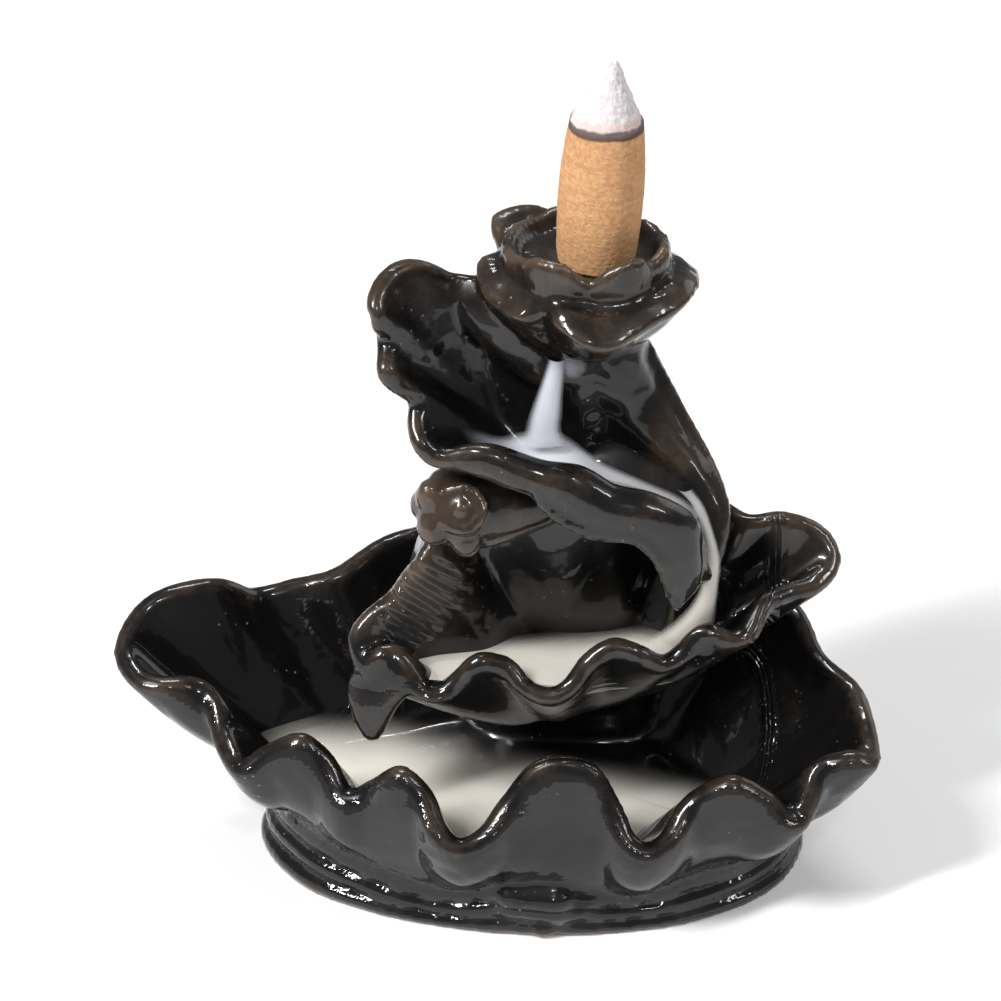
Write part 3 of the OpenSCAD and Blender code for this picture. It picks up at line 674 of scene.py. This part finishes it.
bare = (1 - height.clamped(3.2, 3.8)) * facing_down.clamped(0.5, 0.8)
colour = glaze.blend(bare, colour, BARE_CLAY)
gloss = 0.06 + edge * 0.1 + petal * 0.12 + bare * 0.7
glaze.surface(Base_Color=colour, Roughness=gloss, Normal=bump, IOR=1.4,
              Coat_Weight=0.4, Coat_Roughness=0.28, Coat_IOR=1.5)
body_mesh.materials.clear()
body_mesh.materials.append(glaze.material)
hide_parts("burner_body")
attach(burner_piece, "root")

# Incense cone in the cup.
# Pressed sandalwood powder. It has burnt down by a third: the tip is white ash with a dark ring
# under it where the ember sits. The smoke sinks through the bore in its base.
CONE_PROFILE = [
    (1.5, 0), (4.92, 0), (5.52, 0.8), (5.8, 4), (6, 9.3), (5.95, 13), (5.82, 15.5), (5.5, 19), (5.16, 21.7),
    (4.8, 22.3), (3.95, 24.1), (3.2, 25.7), (2.5, 27.3), (1.8, 29), (1.35, 30.1), (1.0, 30.7), (0.55, 31),
    (0, 31.1),
]
BORE_TIP = [(0, 14), (1.5, 13)]
GRIT = 0.07

profile = BORE_TIP + [tuple(p) for p in smooth_path(CONE_PROFILE, 6)]
lathe = bmesh.new()
chain = [lathe.verts.new((x, 0, z)) for x, z in profile]
edges = [lathe.edges.new(pair) for pair in zip(chain, chain[1:])]
bmesh.ops.spin(lathe, geom=chain + edges, axis=(0, 0, 1), cent=(0, 0, 0), angle=2 * math.pi, steps=120,
               use_merge=True)
bmesh.ops.remove_doubles(lathe, verts=lathe.verts, dist=0.001)
bmesh.ops.recalc_face_normals(lathe, faces=lathe.faces)
for vert in lathe.verts:
    reach = math.hypot(vert.co.x, vert.co.y)
    if reach > 1.6 or vert.co.z > 20:
        rough = noise.fractal(vert.co * 1.1, 0.8, 2.0, 3)
        ash = max(0.0, min(1.0, (vert.co.z - 21.5) / 1.5))
        vert.co += vert.normal * (-0.12 + rough * GRIT * (1 + 1.5 * ash))
place_cone = Matrix.Translation(CUP_CENTRE) @ Matrix.Rotation(CONE_LEAN, 4, "Y")
bmesh.ops.transform(lathe, matrix=Matrix.Scale(MM, 4) @ place_cone, verts=lathe.verts)
cone_piece = set_out("incense_stick_cone", lathe)
cone_piece.data.shade_smooth()

DARK_TAN = (0.50, 0.26, 0.118, 1)
LIGHT_TAN = (0.68, 0.375, 0.18, 1)
PRESSED_TAN = (0.40, 0.205, 0.09, 1)
GREY_ASH = (0.62, 0.565, 0.58, 1)
WHITE_ASH = (0.78, 0.725, 0.735, 1)
PINK_ASH = (0.70, 0.42, 0.36, 1)
EMBER_RING = (0.06, 0.035, 0.03, 1)

powder = Finish("pressed_powder")
upright = powder.node("Mapping", {"vector_type": "TEXTURE"},
                      {"Vector": powder.place(), "Location": tuple(CUP_CENTRE * MM),
                       "Rotation": (0, CONE_LEAN, 0)})
wander = powder.clouds(upright, 130.0, 3.0)
level = upright.axis(2) * 1000 + (wander - 0.5) * 1.6 - upright.axis(0) * 60
burnt = level.clamped(21.2, 21.7)
ring = level.clamped(20.7, 21.1) * (1 - level.clamped(21.9, 22.3))
pink = level.clamped(21.9, 22.3) * (1 - level.clamped(22.6, 23.6))
grain = powder.clouds(upright, 1500.0, 4.0, 0.7)
stretch = powder.node("Mapping", None, {"Vector": upright, "Scale": (0.25, 0.25, 3.0)})
press = powder.clouds(stretch, 700.0, 3.0)
tan = powder.blend(grain.clamped(0.35, 0.65), DARK_TAN, LIGHT_TAN)
tan = powder.blend(press.clamped(0.4, 0.7) * 0.35, tan, PRESSED_TAN)
ash = powder.blend(grain.clamped(0.35, 0.65), GREY_ASH, WHITE_ASH)
colour = powder.blend(burnt, tan, ash)
colour = powder.blend(pink * 0.5, colour, PINK_ASH)
colour = powder.blend(ring * 0.9, colour, EMBER_RING)
bump = powder.node("Bump", None, {"Strength": 0.6, "Distance": 0.0003, "Height": grain + press * 0.5})
powder.surface(Base_Color=colour, Roughness=0.9, Normal=bump)
cone_piece.data.materials.append(powder.material)
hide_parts("incense_cone")
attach(cone_piece, "root")

# Smoke of the cone.
# Cold smoke sinks out of the outlet as a thin stream, pools on the upper leaf, runs down the
# channel to the lower leaf and pools in the basin. Each run is made of soft sheets that fade out.
LOWER_LEVELS = [34.0, 35.0, 36.0]
BASIN_LEVELS = [10.4, 11.8, 13.2]
# Each row of a run: its left end, its right end and how dense the smoke is there.
SMOKE_RUNS = {
    "smoke_stream": [
        ((7.6, -9.2, 87.0), (10.2, -9.2, 87.0), 0.5), ((7.0, -9.8, 85.0), (10.0, -9.8, 85.0), 0.85),
        ((6.0, -10.2, 82.0), (9.8, -10.2, 82.0), 0.9), ((5.0, -10.6, 79.0), (9.7, -10.6, 79.0), 0.9),
        ((4.4, -10.8, 76.5), (9.6, -10.8, 76.5), 0.9), ((3.4, -11.0, 74.2), (10.6, -11.0, 74.2), 0.7),
    ],
    "smoke_on_upper_leaf": [
        ((-4.5, -9, 75.6), (-3, -12, 75.0), 0.0), ((-2.5, -8, 74.9), (0, -12.4, 73.0), 0.12),
        ((1, -8, 73.8), (4, -12.4, 72.0), 0.45), ((4.5, -8, 74.6), (7.5, -12.6, 70.6), 0.95),
        ((9.5, -8, 74.4), (12, -12.6, 69.6), 0.95), ((15, -8, 69.9), (17, -12.4, 67.0), 0.8),
        ((20.6, -8, 66.8), (21.6, -12, 66.0), 0.65), ((26.2, -8, 63.9), (25, -11.6, 63.6), 0.55),
        ((29.2, -7, 60.8), (27.8, -10, 60.4), 0.4),
    ],
    "smoke_in_channel": [
        ((25.6, -8.6, 65.4), (28.0, -8.0, 65.0), 0.5), ((27.6, -8.8, 63.2), (29.8, -8.6, 62.4), 0.7),
        ((29.0, -9.0, 59.6), (31.2, -8.8, 58.0), 0.75), ((29.7, -9.0, 54.6), (32.2, -8.8, 53.6), 0.75),
        ((29.4, -9.0, 50.0), (32.0, -8.8, 48.6), 0.8), ((28.2, -9.2, 46.8), (31.8, -8.8, 45.4), 0.85),
        ((26.2, -9.4, 44.2), (31.6, -8.8, 42.8), 0.85), ((23.4, -9.6, 41.8), (31.0, -8.8, 40.4), 0.85),
        ((19.0, -9.8, 38.8), (30.0, -8.8, 37.6), 0.6),
    ],
    "smoke_at_outlet": [
        ((9.6, -10.2, 88.6), (12.4, -10.2, 88.4), 0.0), ((9.5, -10.4, 87.4), (13.2, -10.4, 87.0), 0.2),
        ((9.6, -10.4, 86.0), (13.0, -10.4, 85.8), 0.2), ((10.0, -10.2, 84.8), (12.2, -10.2, 84.8), 0.0),
    ],
}
# The pool on the lower leaf, in rows from left to right: back end, front end and how dense.
LOWER_POOL = [
    ((-16.0, -9.0), (-16.0, -11.0), 0.0), ((-13.3, -7.2), (-13.0, -12.4), 0.55),
    ((-4.7, -4.0), (-6.0, -13.4), 0.9), ((1.0, -2.5), (1.0, -12.8), 0.95), ((9.7, -0.6), (9.0, -14.6), 0.95),
    ((18.3, 1.0), (18.0, -12.6), 0.9), ((24.0, 0.5), (24.0, -11.5), 0.85), ((27.5, -1.0), (28.0, -9.5), 0.7),
    ((30.0, -4.0), (30.5, -8.0), 0.3),
]
# Where the smoke in the basin ends at the back, from left to right.
BASIN_EDGE = [(-36, 2), (-29, 5), (-14, 4), (1, -2), (12, -6), (23, -9), (38, -15)]

LOW_SMOKE = (0.88, 0.84, 0.76, 1)
HIGH_SMOKE = (0.56, 0.58, 0.64, 1)

smoke = Finish("cold_smoke")
place = smoke.place()
body = smoke.marking("smoke_body")
billow = smoke.clouds(place, 70.0, 3.0)
height = place.axis(2) * 1000
tone = smoke.blend(height.clamped(45.0, 78.0), LOW_SMOKE, HIGH_SMOKE)
smoke.surface(Base_Color=tone, Roughness=1.0, Specular_IOR_Level=0.0,
              Alpha=body * (0.72 + billow * 0.5))


def drape_smoke(name, sheets):
    """Sheets of smoke, each from rows of points and how dense the smoke is at every point."""
    cloth = bmesh.new()
    dense = cloth.verts.layers.float.new("smoke_body")
    for rows, values in sheets:
        grid = bmesh.ops.create_grid(cloth, x_segments=len(rows[0]) - 1, y_segments=len(rows) - 1, size=1)
        for vert, point, value in zip(grid["verts"], np.array(rows).reshape(-1, 3), np.ravel(values)):
            vert.co = point * MM
            vert[dense] = value
    bmesh.ops.remove_doubles(cloth, verts=cloth.verts, dist=0.000001)
    cloth.normal_update()
    turned = [f for f in cloth.faces if f.normal.z - f.normal.y < 0]
    bmesh.ops.reverse_faces(cloth, faces=turned)
    piece = set_out(name, cloth)
    piece.data.shade_smooth()
    piece.data.materials.append(smoke.material)
    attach(piece, "root")


def soft_step(values):
    """Smooth rise from 0 to 1."""
    values = np.clip(values, 0, 1)
    return values * values * (3 - 2 * values)


share = np.linspace(0, 1, 13)
for name, stations in SMOKE_RUNS.items():
    line = smooth_path([(*left, *right, value) for left, right, value in stations], 6)
    bulge = np.sin(share * math.pi)
    rows = line[:, None, 0:3] * (1 - share[:, None]) + line[:, None, 3:6] * share[:, None]
    rows = rows - bulge[:, None] * (0, 0.8, 0)
    border = soft_step(np.minimum(share, 1 - share) * 4)
    drape_smoke(name, [(rows, line[:, 6:7] * border)])

sheets = []
for level in LOWER_LEVELS:
    line = smooth_path([(*back, *front, value) for back, front, value in LOWER_POOL], 6)
    rows = line[:, None, 0:2] * (1 - share[:, None]) + line[:, None, 2:4] * share[:, None]
    rows = np.concatenate([rows, np.full(rows.shape[:2] + (1,), level)], 2)
    sheets.append((rows, line[:, 4:5] * soft_step(share * 2.5) * 0.6))
drape_smoke("smoke_on_lower_leaf", sheets)

sheets = []
for level in BASIN_LEVELS:
    # How far out the wall of the basin stands at this level.
    rise = (level - FLOOR_HEIGHT) / (basin_high[:, 2:] - FLOOR_HEIGHT)
    up_wall = FLOOR_SHARE + (1 - FLOOR_SHARE) * rise ** (1 / WALL_BEND)
    shore = basin_low + (basin_high - basin_low) * up_wall
    shore = floor_middle + (shore - floor_middle) * 1.02
    shore = np.concatenate([shore, shore[:1]])
    rows = np.array([floor_middle + (shore - floor_middle) * reach for reach in np.linspace(0, 1, 16)])
    rows[:, :, 2] = level
    x, y = rows[:, :, 0], rows[:, :, 1]
    back = np.interp(x, *np.array(BASIN_EDGE, float).T)
    values = soft_step((back + 7 - y) / 15) * soft_step((40 - x) / 12) * soft_step((x + 37) / 7)
    sheets.append((rows, values * 0.55))
drape_smoke("smoke_in_basin", sheets)

# Studio: a sheet of white paper, soft lights and the camera.
# The paper shows white to the camera and in the glaze, and keeps the burner's shadow. The room
# beyond the paper is dim.
PAPER_REACH = 0.45
PAPER_GLOW = 0.12
ROOM_LIGHT = 0.2
LIGHT_AIM = Vector((0, 0, 0.05))
# Softboxes: where each hangs, its width and height, all in metres, and its power in watts.
SOFTBOXES = {
    "left_softbox": ((-0.42, -0.3, 0.6), 0.07, 0.3, 6.6),
    "right_softbox": ((0.55, -0.2, 0.5), 0.05, 0.25, 1.0),
    "top_softbox": ((0.0, 0.3, 0.7), 0.3, 0.05, 2.0),
    "front_fill": ((0.15, -0.75, 0.85), 0.1, 0.1, 1.6),
    "back_softbox": ((0.6, 0.45, 0.35), 0.5, 0.4, 0.7),
}
CAMERA_AIM = Vector((0.0011, -0.005, 0.0611))
CAMERA_DISTANCE = 0.7
CAMERA_ELEVATION = math.radians(33)
FRAME_PIXELS = 1001
FOCAL_PIXELS = 4970

table = bmesh.new()
bmesh.ops.create_grid(table, x_segments=1, y_segments=1, size=PAPER_REACH)
floor = set_out("table", table)
paper = Finish("white_paper")
seen = paper.node("LightPath", out=0)
gleam = paper.node("LightPath", out=3)
through = paper.node("LightPath", out=6)
any_view = seen.sum_with("MAXIMUM", seen.sum_with("MAXIMUM", seen, gleam), through)
matt = paper.node("BsdfDiffuse", None, {"Color": (0.8, 0.8, 0.8, 1)})
place = paper.place()
across, depth = place.axis(0), place.axis(1)
fade = (across * across + depth * depth).clamped(0.09, 0.2)
glow = paper.node("Emission", None,
                  {"Color": (1, 1, 1, 1), "Strength": any_view * (1 - fade) * PAPER_GLOW})
both = paper.node("AddShader", None, {0: matt, 1: glow})
paper.node("OutputMaterial", None, {"Surface": both})
floor.data.materials.append(paper.material)

world = bpy.data.worlds.new("studio")
bpy.context.scene.world = world
world.use_nodes = True
world.node_tree.nodes["Background"].inputs["Color"].default_value = (1, 1, 1, 1)
world.node_tree.nodes["Background"].inputs["Strength"].default_value = ROOM_LIGHT

for name, (place, width, height, power) in SOFTBOXES.items():
    lamp = bpy.data.lights.new(name, "AREA")
    lamp.shape = "RECTANGLE"
    lamp.size, lamp.size_y = width, height
    lamp.energy = power
    box = set_out(name, lamp)
    box.location = place
    box.rotation_euler = (LIGHT_AIM - Vector(place)).to_track_quat("-Z", "Y").to_euler()

lens = bpy.data.cameras.new("camera")
lens.angle = 2 * math.atan(FRAME_PIXELS / 2 / FOCAL_PIXELS)
camera = set_out("camera", lens)
view_back = Vector((0, -math.cos(CAMERA_ELEVATION), math.sin(CAMERA_ELEVATION)))
camera.location = CAMERA_AIM + CAMERA_DISTANCE * view_back
camera.rotation_euler = (math.pi / 2 - CAMERA_ELEVATION, 0, 0)
bpy.context.scene.camera = camera
bpy.context.scene.view_settings.view_transform = "Standard"
